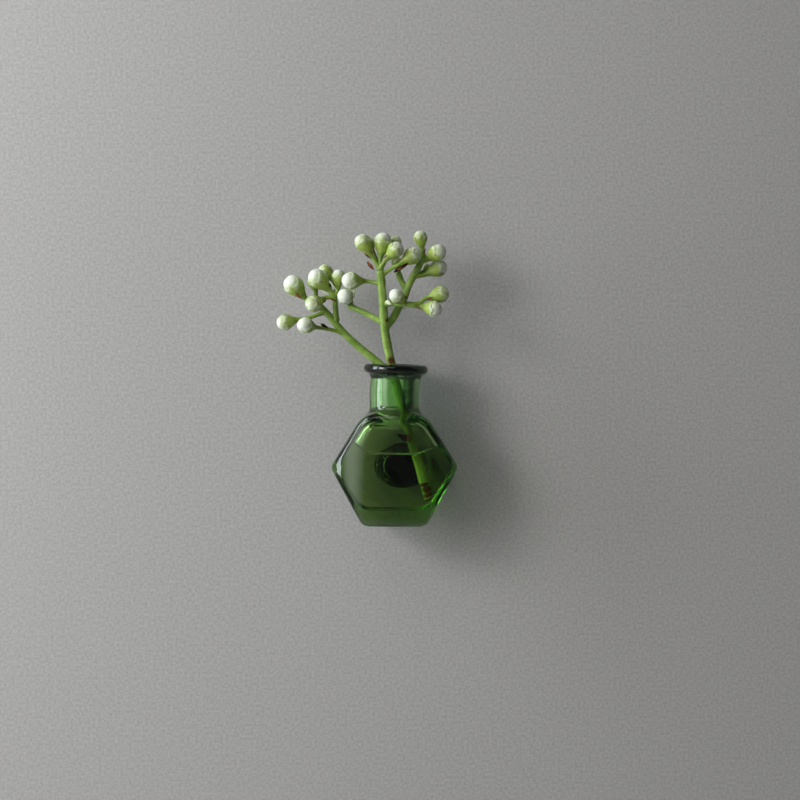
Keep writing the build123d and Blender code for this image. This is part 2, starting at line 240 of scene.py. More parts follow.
class GlassSizes(bpy.types.PropertyGroup):
    body_width: length("Body width", "Across the two side corners, before they are rounded", 40.9)
    base_width: length("Base width", "Across the side that the glass stands on", 20.0)
    shoulder_width: length("Shoulder width", "Across the top side under the neck", 19.2)
    lower_height: length("Lower height", "From the side corners down to the base", 18.5)
    upper_height: length("Upper height", "From the side corners up to the shoulder", 17.6)
    barrel_width: length("Barrel width", "Long way across the ellipse, seen from above", 41.6)
    body_depth: length("Body depth", "Front to back", 20.8)
    side_wall: length("Side wall", "Thickness of the glass round the hollow", 2.2)
    floor_wall: length("Floor wall", "Thickness of the glass under the hollow", 5.0)
    neck_radius: length("Neck radius", "Outside of the neck", 8.0)
    bore_radius: length("Bore radius", "Inside of the neck", 6.4)
    lip_top: length("Lip top", "Top of the lip above the side corners", 32.8)
    lip_roll: length("Lip roll", "Radius of the rolled edge of the lip", 1.5)
    lip_radius: length("Lip radius", "Outside of the lip", 10.25)
    mouth_curve: length("Mouth curve", "Radius of the rounded mouth", 1.9)
    lip_tilt: FloatProperty(
        name="Lip tilt", description="How far the lip sinks to the right", default=0.033,
        subtype="ANGLE",
    )
    lip_shift: length("Lip shift", "How far the lip stands to the right of the neck", 0.4)
    water_level: length("Water level", "Height of the water above the side corners", 4.0)
    meniscus: length("Meniscus", "How far the water climbs the glass", 1.1)
    tint: colour("Tint", "Light that comes through the thick of the glass", (0.36, 0.80, 0.14))
    skin: colour("Neck skin", "Light that the neck's surface lets through", (0.65, 0.94, 0.53))
    # Darker than the neck's skin partly for the thicker walls, partly as painted shade for the
    # shadow seen through the body
    body_skin_and_shade: colour("Body skin", "The same for the body", (0.51, 0.60, 0.36))
    base_skin: colour("Base skin", "The same for the thick base", (0.74, 0.52, 0.58))
    # The neck's darker streaks are painted shadow, for the shade seen through the right of the neck
    shadow_streak_skin: colour("Cord skin", "The same for the cords in the neck", (0.15, 0.23, 0.13))
    lip_skin: colour("Lip skin", "The same for the thick lip", (0.012, 0.02, 0.011))
    tint_density: FloatProperty(
        name="Tint density", description="Depth of the tint, per metre", default=110.0, min=0
    )


class SprigLooks(bpy.types.PropertyGroup):
    stem: colour("Stem", "Fresh green of the stems", (0.11, 0.22, 0.018))
    stem_pale: colour("Stem streaks", "Paler streaks along the stems", (0.36, 0.50, 0.12))
    calyx: colour("Calyx", "Green of the cups under the buds", (0.32, 0.43, 0.07))
    calyx_pale: colour("Calyx edge", "Pale edge of the cups", (0.56, 0.65, 0.42))
    petal: colour("Petal", "White of the closed petals", (0.68, 0.71, 0.62))
    petal_green: colour("Petal foot", "Green tinge at the foot of the petals", (0.44, 0.52, 0.24))
    # Paler copies of the stem and scar colours, for where they stand behind the glass: painted
    # light
    stem_neck_painted_light: colour("Stem in the neck", "Green of the stem above the water", (0.24, 0.36, 0.06))
    stem_water_painted_light: colour("Wet stem", "Bleached green of the stem in the water", (0.57, 0.79, 0.18))
    scar: colour("Scar", "Brown of leaf scars and the cut", (0.13, 0.045, 0.015))
    scar_glass_painted_light: colour("Wet scar", "Redder brown of the scars in the glass", (0.30, 0.055, 0.008))
    bract: colour("Bract", "Dry brown bracts", (0.135, 0.05, 0.019))


class StageLooks(bpy.types.PropertyGroup):
    wall: colour("Wall", "Plain grey of the wall", (0.405, 0.393, 0.379))
    floor: colour("Floor", "Plain pale floor", (0.50, 0.50, 0.49))
    world: colour("Room", "Soft light from the room", (0.09, 0.09, 0.093))
    window_power: watts("Window", "Tall lamp at the left", 3.5)
    key_power: watts("Key", "Small lamp at the left", 1.8)
    panel_power: watts("Panel", "Broad soft lamp at the left", 10.0)
    top_power: watts("Top", "Lamp overhead", 1.1)


class Link:
    """An output of a node, so that shader maths is written as an expression.
    Each operator adds a Math node to the finish that the output belongs to."""

    def __init__(self, finish, socket):
        self.finish = finish
        self.socket = socket

    def math(self, operation, first, second=0.0):
        return self.finish.node("ShaderNodeMath", {"operation": operation}, {0: first, 1: second})

    def __add__(self, other):
        return self.math("ADD", self, other)

    def __radd__(self, other):
        return self.math("ADD", other, self)

    def __sub__(self, other):
        return self.math("SUBTRACT", self, other)

    def __rsub__(self, other):
        return self.math("SUBTRACT", other, self)

    def __mul__(self, other):
        return self.math("MULTIPLY", self, other)

    def __rmul__(self, other):
        return self.math("MULTIPLY", other, self)

    def clipped(self):
        return self.finish.node("ShaderNodeClamp", {}, {"Value": self, "Min": 0.0, "Max": 1.0})

    def below(self, limit):
        return self.math("LESS_THAN", self, limit)

    def between(self, low, high):
        """Rises smoothly from 0 at low to 1 at high."""
        settings = {"interpolation_type": "SMOOTHSTEP"}
        sockets = {0: self, 1: low, 2: high, 3: 0.0, 4: 1.0}
        return self.finish.node("ShaderNodeMapRange", settings, sockets)


class Finish:
    """A procedural material: a Principled shader and the patterns that feed it."""

    def __init__(self, name):
        self.material = bpy.data.materials.new(name)
        self.material.use_nodes = True
        self.tree = self.material.node_tree
        self.tree.nodes.clear()
        self.place = self.node("ShaderNodeTexCoord", {}, {}, "Object")

    def node(self, kind, settings, sockets, output=0):
        """Adds a node, its settings first and then the values or links of its sockets."""
        made = self.tree.nodes.new(kind)
        for name, value in settings.items():
            setattr(made, name, value)
        for key, value in sockets.items():
            if isinstance(value, Link):
                self.tree.links.new(value.socket, made.inputs[key])
            else:
                made.inputs[key].default_value = value
        return Link(self, made.outputs[output])

    def stretched(self, scale):
        """The object's coordinates, with each of their three directions scaled."""
        return self.node("ShaderNodeMapping", {}, {"Vector": self.place, "Scale": scale})

    def noise(self, scale, detail=2.0, roughness=0.5, place=None):
        """Smooth noise from 0 to 1 on the object's own coordinates or on another place."""
        place = place or self.place
        sockets = {"Vector": place, "Scale": scale, "Detail": detail, "Roughness": roughness}
        return self.node("ShaderNodeTexNoise", {}, sockets)

    def attribute(self, name):
        return self.node("ShaderNodeAttribute", {"attribute_name": name}, {}, "Fac")

    def mix(self, factor, first, second):
        """One colour over another by a factor."""
        first = first if isinstance(first, Link) else (*first, 1.0)
        second = second if isinstance(second, Link) else (*second, 1.0)
        sockets = {0: factor, 6: first, 7: second}
        return self.node("ShaderNodeMix", {"data_type": "RGBA"}, sockets, 2)

    def either(self, factor, first, second):
        """One shader or another by a factor."""
        return self.node("ShaderNodeMixShader", {}, {0: factor, 1: first, 2: second})

    def bump(self, height, strength, distance):
        sockets = {"Height": height, "Strength": strength, "Distance": distance}
        return self.node("ShaderNodeBump", {}, sockets)

    def shade(self, glow=None, **sockets):
        """The Principled shader and the output. An underscore in a name stands for a space.
        A glow is how strongly light spreads under the skin, and how far, in millimetres."""
        if glow:
            reach = tuple(part * MM for part in glow[1:])
            spread = {"Weight": glow[0], "Radius": reach, "Scale": 1.0}
            sockets.update({"Subsurface_" + key: value for key, value in spread.items()})
        named = {key.replace("_", " "): value for key, value in sockets.items()}
        shader = self.node("ShaderNodeBsdfPrincipled", {}, named)
        self.output = self.tree.nodes.new("ShaderNodeOutputMaterial")
        self.show(shader)
        return shader

    def show(self, shader, part="Surface"):
        self.tree.links.new(shader.socket, self.output.inputs[part])


def surface(name, rings, ends, ride_on, finish, values=None, nodes=()):
    """Makes a closed piece from a grid of points: rings go along it and each ring goes round it.
    A pole closes each end. Quads join each point to the next round and the next along."""
    count, around = rings.shape[:2]
    points = np.concatenate([rings.reshape(-1, 3), np.asarray(ends)])
    here = np.arange(count * around).reshape(count, around)
    after = np.roll(here, -1, axis=1)
    quads = np.stack([here[:-1], after[:-1], after[1:], here[1:]], axis=-1).reshape(-1)
    first_fan = np.stack([after[0], here[0], np.full(around, count * around)], axis=-1)
    last_fan = np.stack([here[-1], after[-1], np.full(around, count * around + 1)], axis=-1)
    corners = np.concatenate([quads, first_fan.reshape(-1), last_fan.reshape(-1)])
    sides = np.repeat([4, 3], [(count - 1) * around, 2 * around])
    mesh = bpy.data.meshes.new(name)
    mesh.vertices.add(len(points))
    mesh.vertices.foreach_set("co", points.reshape(-1))
    mesh.loops.add(len(corners))
    mesh.loops.foreach_set("vertex_index", corners)
    mesh.polygons.add(len(sides))
    mesh.polygons.foreach_set("loop_start", np.cumsum(sides) - sides)
    mesh.polygons.foreach_set("loop_total", sides)
    for key, value in (values or {}).items():
        grid = np.broadcast_to(value, (count, around)).reshape(-1)
        filled = np.concatenate([grid, [grid[0], grid[-1]]])
        mesh.attributes.new(key, "FLOAT", "POINT").data.foreach_set("value", filled)
    mesh.update(calc_edges=True)
    mesh.validate()
    mesh.shade_smooth()
    mesh.materials.append(finish)
    piece = bpy.data.objects.new(name, mesh)
    bpy.context.scene.collection.objects.link(piece)
    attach(piece, ride_on)
    if nodes:
        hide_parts(*nodes)
    return piece


def rounded(first, second, size):
    """Where two solids cross, given the distance to each: the larger of the two distances,
    and within the size of the edge the length of both, less the size, which rounds it."""
    flat = np.minimum(np.maximum(first, second) + size, 0)
    return flat + np.hypot(np.maximum(first + size, 0), np.maximum(second + size, 0)) - size


def joined(first, second, size):
    """Two solids run together, with the hollow edge between them filled to a round."""
    return -rounded(-first, -second, size)


def body_distance(x, y, z, sizes, inset, floor, rounds):
    """Distance to the body, below zero inside. The front outline is the crossing of two side
    slopes, a flat top and a flat base, each drawn in by the wall, and the ellipse seen from above
    cuts it at front and back. An edge is rounded by its radius times one less the cosine of the
    turn between its two faces, so that the round is as wide as a true fillet."""
    corner, base, shoulder, edge = np.array(rounds) * MM
    half = sizes.body_width / 2
    upper_run = half - sizes.shoulder_width / 2
    lower_run = half - sizes.base_width / 2
    upper_length = np.hypot(upper_run, sizes.upper_height)
    lower_length = np.hypot(lower_run, sizes.lower_height)
    corner_turn = sizes.upper_height * sizes.lower_height - upper_run * lower_run
    corner_size = corner * (1 - corner_turn / (upper_length * lower_length))
    shoulder_size = shoulder * (1 - upper_run / upper_length)
    base_size = base * (1 - lower_run / lower_length)

    def outline(across):
        out = np.abs(across) - half
        upper = (out * sizes.upper_height + z * upper_run) / upper_length + inset
        lower = (out * sizes.lower_height - z * lower_run) / lower_length + inset
        side = rounded(upper, lower, corner_size)
        side = rounded(side, z - sizes.upper_height + inset, shoulder_size)
        return rounded(side, max(inset, floor) - sizes.lower_height - z, base_size)

    long_half = sizes.barrel_width / 2 - inset
    short_half = sizes.body_depth / 2 - inset
    reach = np.hypot(x / long_half, y / short_half) + 1e-9
    slope_x = x / long_half**2 / reach
    slope_y = y / short_half**2 / reach
    slope = np.hypot(slope_x, slope_y) + 1e-9
    step = 0.05 * MM
    lean = (outline(x + step) - outline(x - step)) / (2 * step)
    turn = np.clip(lean * slope_x / slope, 0, 1)
    return rounded(outline(x), (reach - 1) / slope, edge * (1.02 - turn))


def first_crossing(distance, origin, heading):
    """Points where rays leave a solid, found by halving the stretch that holds the crossing."""
    near = np.zeros(heading.shape[:-1])
    far = np.full(heading.shape[:-1], REACH)
    for _ in range(HALVINGS):
        middle = (near + far) / 2
        point = origin + heading * middle[..., None]
        inside = distance(point[..., 0], point[..., 1], point[..., 2]) < 0
        near = np.where(inside, middle, near)
        far = np.where(inside, far, middle)
    return origin + heading * near[..., None]


def fan(around, low_steps, high_steps, level=-MM, slope_start=0.7):
    """Rays that sweep the vase from the middle of its base to its neck. The first part turns
    about one point from straight down to the starting slope, and the second climbs the axis
    while its slope falls to nothing, so that no two rays meet."""
    tilt = np.linspace(-np.pi / 2, np.arctan(slope_start), low_steps + 1)[1:]
    share = np.linspace(0, 1, high_steps + 1)[1:]
    rise = np.concatenate([np.tan(tilt[:-1]), [slope_start], slope_start * (1 - share)])
    height = np.concatenate([np.full(low_steps, level), level + (NECK_START - level) * share])
    run = 1 / np.hypot(1, rise)
    heading = np.stack(np.broadcast_arrays(
        run[:, None] * np.cos(around), run[:, None] * np.sin(around), (rise * run)[:, None]
    ), axis=-1)
    origin = np.zeros((len(rise), 1, 3))
    origin[:, 0, 2] = height
    return origin, heading


def arc(centre, radius, first, last, steps):
    """Points of an arc in the upright half plane, as distance from the axis and height."""
    turn = np.radians(np.linspace(first, last, steps))
    return np.stack([centre[0] + radius * np.cos(turn), centre[1] + radius * np.sin(turn)], axis=-1)


def lip_outline(sizes):
    """Half outline of the lip and the mouth: a flare that leaves the neck, the round roll,
    and the mouth's curve down into the bore."""
    flare, flare_turn = 2.6 * MM, np.radians(50)
    roll_centre = sizes.lip_radius - sizes.lip_roll
    roll_level = sizes.lip_top - sizes.lip_roll
    flare_radius = sizes.neck_radius + flare * (1 - np.cos(flare_turn))
    drop = np.sqrt(sizes.lip_roll**2 - (flare_radius - roll_centre) ** 2)
    neck_end = roll_level - drop - flare * np.sin(flare_turn)
    start = np.degrees(np.arctan2(-drop, flare_radius - roll_centre))
    return neck_end, np.concatenate([
        arc((sizes.neck_radius + flare, neck_end), flare, 180, 130, 10)[1:],
        arc((roll_centre, roll_level), sizes.lip_roll, start, 90, 30)[1:],
        arc((sizes.bore_radius + sizes.mouth_curve, sizes.lip_top - sizes.mouth_curve),
            sizes.mouth_curve, 90, 180, 16),
    ])


def ripple(points, around, size):
    """Slight unevenness: a few slow waves round the glass that drift with the height, added
    to the distance from the axis."""
    height = points[..., 2] / MM
    wave = sum(part * np.cos(count * around + drift * height + start)
               for part, count, drift, start in RIPPLES)
    spread = np.hypot(points[..., 0], points[..., 1])
    grow = 1 + size * wave * np.clip(spread / (3 * MM), 0, 1) / np.maximum(spread, MM)
    moved = points.copy()
    moved[..., :2] *= grow[..., None]
    return moved


def hollow_distance(sizes):
    """Distance to the hollow: the body drawn in by the wall, run together with the bore."""
    def distance(x, y, z):
        body = body_distance(x, y, z, sizes, sizes.side_wall, sizes.floor_wall, HOLLOW_ROUNDS)
        bore = np.maximum(np.hypot(x, y) - sizes.bore_radius, NECK_FOOT - z)
        return joined(body, bore, 1.6 * MM)

    return distance


def water_height(x, sizes):
    """Height of the water: a level that lifts towards the narrow ends of the vase."""
    left = np.clip((-6 * MM - x) / (8 * MM), 0, 1) ** 1.4 * 4.6 * MM
    right = np.clip((x - 6 * MM) / (10 * MM), 0, 1) ** 1.2 * 3.0 * MM
    return sizes.water_level + left + right


def glass_points(sizes, around):
    """Rings of the glass, from the middle of the base up the outside, over the lip
    and down the inside to the middle of the hollow's floor."""
    def outside(x, y, z):
        body = body_distance(x, y, z, sizes, 0, 0, OUTSIDE_ROUNDS)
        neck = np.maximum(np.hypot(x, y) - sizes.neck_radius, NECK_FOOT - z)
        return joined(body, neck, 2.2 * MM)

    def upright(radius, first, last, count):
        return np.stack([np.full(count, radius), np.linspace(first, last, count + 1)[1:]], axis=-1)

    outer = first_crossing(outside, *fan(around, *OUTSIDE_RINGS))
    neck_end, lip = lip_outline(sizes)
    neck = upright(sizes.neck_radius, NECK_START, neck_end, NECK_RINGS)
    bore = upright(sizes.bore_radius, sizes.lip_top - sizes.mouth_curve, NECK_START, BORE_RINGS)
    outline = np.concatenate([neck, lip, bore])
    turned = np.stack(np.broadcast_arrays(
        outline[:, :1] * np.cos(around), outline[:, :1] * np.sin(around), outline[:, 1:]
    ), axis=-1)
    inner = first_crossing(hollow_distance(sizes), *fan(around, *INSIDE_RINGS))[-2::-1]
    outside_rings = len(outer) + NECK_RINGS + LIP_RINGS
    rings = np.concatenate([outer, turned, inner])
    rough = np.where(np.arange(len(rings)) < outside_rings, 0.06, 0.16) * MM
    rings = ripple(rings, around, rough[:, None])
    share = np.clip((rings[..., 2] - LIP_BEND[0]) / LIP_BEND[1], 0, 1)
    share = share**2 * (3 - 2 * share)
    rings[..., 2] -= sizes.lip_tilt * rings[..., 0] * share
    rings[..., 0] += sizes.lip_shift * share
    above = (rings[..., 2] - water_height(rings[..., 0], sizes) - sizes.meniscus) / MM
    above[:outside_rings] = 10
    return rings, above


def water_points(sizes, around):
    """Rings of the water, from the middle of the floor up the wall to the contact line,
    and along the surface back to the axis, with a meniscus that falls off by a power of e
    from the wall. The side lies a little inside the glass."""
    overlap = 0.09 * MM
    dry = hollow_distance(sizes)

    def wet(x, y, z):
        return dry(x, y, z) - overlap

    flat = np.stack([np.cos(around), np.sin(around), np.zeros_like(around)], axis=-1)
    contact = np.full(around.shape, sizes.water_level)
    for _ in range(6):
        origin = np.stack([0 * contact, 0 * contact, contact], axis=-1)
        wall = first_crossing(wet, origin, flat)
        contact = water_height(wall[:, 0], sizes) + sizes.meniscus
    spread = np.hypot(wall[:, 0], wall[:, 1])
    start = -6 * MM
    end_tilt = np.arctan2(contact - start, spread)
    share = np.linspace(0, 1, WATER_RINGS + 1)[1:, None]
    tilt = -np.pi / 2 + (end_tilt + np.pi / 2) * share
    heading = np.stack([
        np.cos(tilt) * np.cos(around), np.cos(tilt) * np.sin(around), np.sin(tilt)
    ], axis=-1)
    origin = np.zeros((WATER_RINGS, 1, 3))
    origin[..., 2] = start
    side = first_crossing(wet, origin, heading)
    inward = 1 - np.linspace(0, 1, 41)[1:-1, None] ** 1.5
    climb = sizes.meniscus * np.exp(-(1 - inward) * spread / (1.1 * MM))
    x = inward * spread * np.cos(around)
    y = inward * spread * np.sin(around)
    return np.concatenate([side, np.stack([x, y, water_height(x, sizes) + climb], axis=-1)])


def stem_line(points, spacing):
    """A smooth line along a stem: straight from its first point to the middle of the first run,
    then round each point between by the parabola that joins the middles of its two runs, and
    straight to the last. It is divided evenly."""
    points = np.array(points) * MM
    middles = (points[1:] + points[:-1]) / 2
    share = np.linspace(0, 1, 25)[:, None, None]
    bends = (1 - share) ** 2 * middles[:-1] + 2 * share * (1 - share) * points[1:-1]
    bends = (bends + share**2 * middles[1:]).transpose(1, 0, 2).reshape(-1, 3)
    line = np.concatenate([points[:1], bends, points[-1:]])
    steps = np.linalg.norm(np.diff(line, axis=0), axis=1)
    line = line[np.concatenate([[True], steps > 1e-7])]
    along = np.concatenate([[0], np.cumsum(np.linalg.norm(np.diff(line, axis=0), axis=1))])
    even = np.linspace(0, along[-1], max(int(along[-1] / spacing), 4))
    return np.stack([np.interp(even, along, line[:, axis]) for axis in range(3)], axis=-1), even


def across(line):
    """The direction of a line and two directions across it, turned as little as a fixed third
    direction allows, which is the axis that the line follows least."""
    ahead = unit(np.gradient(line, axis=0))
    first = unit(np.cross(np.eye(3)[np.argmin(np.abs(ahead).max(axis=0))], ahead))
    return ahead, first, np.cross(ahead, first)


def tube(line, radius, around):
    """Rings along a line, each a circle across it whose radius may change round it."""
    ahead, first, second = across(line)
    ring = circle(around, first[:, None], second[:, None])
    return line[:, None] + ring * np.broadcast_to(radius, (len(line), len(around)))[..., None]


def glass_finish(sizes):
    """Green pressed glass. One tint lies at its surface and changes from the base to the body,
    the neck, darker streaks in the neck, and the lip. The body's deeper tint is partly painted
    shade, and the streaks in the neck are painted shadow. The other is taken up along the way
    that light goes through it. Below the water its inside is clear, because the water's own side
    bends the light there."""
    finish = Finish("green_glass")
    swirl = finish.noise(120.0, 1.0, place=finish.stretched((1.0, 1.0, 0.5)))
    handled = finish.noise(600.0, 2.0).between(0.45, 0.8)
    height = finish.node("ShaderNodeSeparateXYZ", {}, {0: finish.place}, 2)
    lip = height.between(28.6 * MM, 30.4 * MM)
    # The body's deeper tint is partly painted shade.
    tint = finish.mix(height.between(-14.5 * MM, -11.5 * MM), sizes.base_skin, sizes.body_skin_and_shade)
    beside = finish.node("ShaderNodeSeparateXYZ", {}, {0: finish.place}, 0)
    # Darker streaks on the right of the neck: painted shadow.
    shadow_streaks = finish.noise(900.0, 1.0, place=finish.stretched((1.0, 1.0, 0.08)))
    shadow_streak_mask = beside.between(0.2 * MM, 1.4 * MM) * (1 - beside.between(4.7 * MM, 5.7 * MM))
    shadow_streak_mask = (shadow_streak_mask * (0.35 + shadow_streaks * 1.2)).clipped()
    neck = finish.mix(shadow_streak_mask, sizes.skin, sizes.shadow_streak_skin)
    tint = finish.mix(height.between(15 * MM, 21 * MM), tint, neck)
    glass = finish.shade(
        Base_Color=finish.mix(lip, tint, sizes.lip_skin),
        Roughness=0.012 + handled * 0.02,
        IOR=GLASS_IOR,
        Transmission_Weight=1.0,
        Normal=finish.bump(swirl, 0.25, 0.25 * MM),
    )
    wet = finish.attribute("above_water").below(0.0)
    clear = finish.node("ShaderNodeBsdfTransparent", {}, {})
    finish.show(finish.either(wet, glass, clear))
    soak = {"Color": (*sizes.tint, 1.0), "Density": sizes.tint_density}
    finish.show(finish.node("ShaderNodeVolumeAbsorption", {}, soak), "Volume")
    return finish.material


class BUDVASE_OT_glass(bpy.types.Operator):
    """The green glass: body, neck and lip in one closed shell of glass"""
    bl_idname = "budvase.glass"
    bl_label = "Glass"

    def execute(self, context):
        sizes = context.scene.glass_sizes
        rings, above = glass_points(sizes, turns(ROUND["glass"]))
        rings = rings + CENTRE
        ends = [rings[0].mean(axis=0), rings[-1].mean(axis=0)]
        surface("glass_body", rings, ends, "vase", glass_finish(sizes),
                {"above_water": above}, ["glass_vase"])
        return {"FINISHED"}


class BUDVASE_OT_water(bpy.types.Operator):
    """The water that part fills the glass, its surface drawn up where it meets the wall.
    Its side bends light as the step from glass to water does"""
    bl_idname = "budvase.water"
    bl_label = "Water"

    def execute(self, context):
        sizes = context.scene.glass_sizes
        rings = water_points(sizes, turns(ROUND["water"])) + CENTRE
        ends = [rings[0].mean(axis=0), rings[-1].mean(axis=0)]
        finish = Finish("still_water")
        dust = finish.noise(900.0, 2.0).between(0.55, 0.8)
        water = finish.shade(
            Base_Color=finish.mix(dust, WHITE, (0.97, 0.99, 0.96)),
            Roughness=dust * 0.02,
            IOR=WATER_IOR,
            Transmission_Weight=1.0,
        )
        # The side takes the square root of the body's tint, and with it part of that painted shade.
        tint, bend = (*np.sqrt(sizes.body_skin_and_shade), 1.0), WATER_IOR / GLASS_IOR
        side = {"Color": tint, "Roughness": 0.0, "IOR": bend}
        side = finish.node("ShaderNodeBsdfGlass", {}, side)
        dry = finish.attribute("at_wall").below(0.5)
        finish.show(finish.either(dry, side, water))
        at_wall = np.where(np.arange(len(rings)) < WATER_RINGS, 1.0, 0.0)[:, None]
        surface("water_fill", rings, ends, "vase", finish.material, {"at_wall": at_wall})
        return {"FINISHED"}


class BUDVASE_OT_magnet(bpy.types.Operator):
    """The black magnet and the clear glue that holds it"""
    bl_idname = "budvase.magnet"
    bl_label = "Magnet and glue"

    def execute(self, context):
        finish = Finish("black_magnet")
        grain = finish.noise(2500.0, 3.0, 0.6)
        worn = finish.noise(500.0, 2.0).between(0.5, 0.75)
        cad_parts["magnet_disc"].data.materials[0] = finish.material
        finish.shade(
            Base_Color=finish.mix(worn, (0.012, 0.013, 0.012), (0.035, 0.036, 0.035)),
            Roughness=0.42 + grain * 0.25,
            Normal=finish.bump(grain, 0.3, 0.05 * MM),
        )
        finish = Finish("clear_glue")
        swirl = finish.noise(350.0, 3.0)
        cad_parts["glue_pad"].data.materials[0] = finish.material
        finish.shade(
            Base_Color=finish.mix(swirl.between(0.4, 0.7), (0.80, 0.88, 0.74), (0.95, 0.98, 0.93)),
            Roughness=0.03 + swirl * 0.08,
            IOR=1.48,
            Transmission_Weight=1.0,
            Normal=finish.bump(swirl, 0.5, 0.2 * MM),
        )
        # The rim and the bubbles glow: painted light for what the curved glass gathers there.
        silver_and_glow = self.bubble_finish("glue_air", 0.10)
        glowing_crescent = self.bubble_finish("glue_rim", 0.22)
        turn = np.radians(np.linspace(118, 236, 90))
        size = 0.15 * np.sin(np.pi * np.linspace(0.02, 0.98, 90)) ** 0.5
        self.bead("glue_edge", turn, GLUE_RIM + 0 * turn, size, glowing_crescent)
        turn = np.radians(np.linspace(100, 262, 900))
        reach = GLUE_BUBBLES + 0.75 * np.sin(23 * turn) + 0.2 * np.sin(61 * turn)
        size = 0.012 + 0.22 * np.maximum(np.sin(47 * turn + 3 * np.sin(9 * turn)), 0) ** 2
        self.bead("glue_bubbles", turn, reach, size * (0.55 + 0.45 * np.sin(13 * turn)), silver_and_glow)
        return {"FINISHED"}

    def bead(self, name, turn, reach, size, finish):
        """A string round the middle of the magnet, in the glue between magnet and glass, its
        reach and size in millimetres. Bubbles are places where it swells."""
        line = [reach * np.cos(turn), GLUE_LEVEL + 0 * turn, reach * np.sin(turn)]
        line = np.stack(line, axis=-1) * MM
        rings = tube(line, size[:, None] * MM, turns(ROUND["glue"]))
        surface(name, rings, [line[0], line[-1]], "vase", finish)

    def bubble_finish(self, name, painted_glow):
        """Air in the glue, which sends the light back like a metal mirror. Its emission is a
        painted glow, standing for the light that the curved glass gathers there."""
        finish = Finish(name)
        shimmer = finish.noise(1800.0, 2.0)
        pale = finish.mix(shimmer, (0.72, 0.90, 0.66), (0.98, 1.0, 0.95))
        finish.shade(
            Base_Color=pale,
            Metallic=1.0,
            Roughness=0.12 + shimmer * 0.2,
            Emission_Color=finish.mix(shimmer.between(0.3, 0.7), (0.10, 0.16, 0.09), pale),
            Emission_Strength=painted_glow,
        )
        return finish.material


def stem_finish(looks):
    """Fresh green skin with fine streaks along it and brown scars. Behind the glass of the neck it
    is
    painted paler, and palest in the water, where the scars are painted a redder, brighter brown:
    painted light that lifts the stem where the glass darkens it."""
    finish = Finish("stem_green")
    along = finish.attribute("along")
    turn_in = finish.attribute("turn_in")
    turn_up = finish.attribute("turn_up")
    lengthwise = {0: turn_in, 1: turn_up, 2: along * 60.0}
    lengthwise = finish.node("ShaderNodeCombineXYZ", {}, lengthwise)
    streaks = finish.noise(5.0, 3.0, 0.6, lengthwise)
    patches = finish.noise(260.0, 2.0)
    fine = finish.noise(2600.0, 2.0)
    light = (streaks * 0.7 + patches * 0.5).between(0.42, 0.85)
    green = finish.mix(light, looks.stem, looks.stem_pale)
    # Painted light: paler behind the neck's glass, palest in the water.
    wet = 1 - finish.attribute("dry").between(0.0, 1.0)
    behind = finish.mix(finish.attribute("sunk"), looks.stem_neck_painted_light, looks.stem_water_painted_light)
    green = finish.mix(wet, green, behind)
    scar = (finish.attribute("scar") + fine * 0.3 - 0.15).between(0.35, 0.65)
    ring = (finish.attribute("scar") + fine * 0.2 - 0.1).between(0.12, 0.35)
    between = tuple(0.5 * a + 0.5 * b for a, b in zip(looks.scar, looks.stem))
    rusty = finish.mix(ring, green, between)
    # Painted light: the scars are a redder, brighter brown behind the glass.
    brown = finish.mix(wet, looks.scar, looks.scar_glass_painted_light)
    finish.shade(
        Base_Color=finish.mix(scar, rusty, brown),
        Roughness=0.38 + streaks * 0.25 + scar * 0.2,
        Specular_IOR_Level=0.35,
        glow=(0.12, 0.4, 0.7, 0.2),
        Normal=finish.bump(streaks * 0.7 + fine * 0.3 - scar * 0.6, 0.45, 0.12 * MM),
    )
    return finish.material


def end_round(distance, size, least):
    """How wide a stem is near its end: a quarter round of a size, but never below the least."""
    return np.maximum(np.sqrt(1 - np.clip(1 - distance / size, 0, 1) ** 2), least)


def grow_stem(name, points, foot_size, top_size, knots, scars, finish, cut=False):
    """A stem: circles along its line that narrow evenly, with three soft ribs, a swelling at
    each knot, and at the ends a quarter round. A scar is a shallow dent, marked by a bell round
    its place."""
    line, along = stem_line(points, 0.45 * MM)
    around = turns(ROUND["stem"])
    whole = along[-1]
    radius = (foot_size + (top_size - foot_size) * along / whole) / 2 * MM
    for place, swell in knots:
        radius = radius + swell * MM * bell(along - place * MM, 0.9 * MM)
    wave = 0.035 * np.cos(3 * around + 0.9) + 0.02 * np.cos(2 * around + 90 * along[:, None])
    wave = wave + 0.012 * np.sin(7 * around + 300 * along[:, None])
    start = end_round(along, 0.25 * MM, 0.86) if cut else end_round(along, radius[0], 0.05)
    size = radius * start * end_round(whole - along, radius[-1], 0.05)
    rings = tube(line, size[:, None] * (1 + wave), around)
    ahead, first, second = across(line)
    mark = np.zeros((len(line), len(around)))
    for place, facing, long, wide in scars:
        near = np.argmin(np.abs(along - place * MM))
        middle = np.arctan2(facing @ second[near], facing @ first[near])
        off = np.angle(np.exp(1j * (around - middle)))
        spot = bell(along[:, None] - place * MM, long * MM) * bell(off, wide)
        mark = np.maximum(mark, spot)
        dent = spot * 0.12 * MM / radius[:, None]
        rings = rings - dent[..., None] * (rings - line[:, None])
    if cut:
        mark = np.maximum(mark, bell(along, 0.5 * MM)[:, None])
    values = {
        "scar": mark, "along": along[:, None] / MM / 60.0,
        "dry": np.clip((line[:, 2:] / MM - 22) / 8, 0, 1),
        "sunk": np.clip((8 - line[:, 2:] / MM) / 6, 0, 1),
        "turn_in": np.cos(around)[None, :], "turn_up": np.sin(around)[None, :],
    }
    ends = [line[0], line[-1]]
    return surface(name + "_skin", rings, ends, "sprig", finish, values, [name])


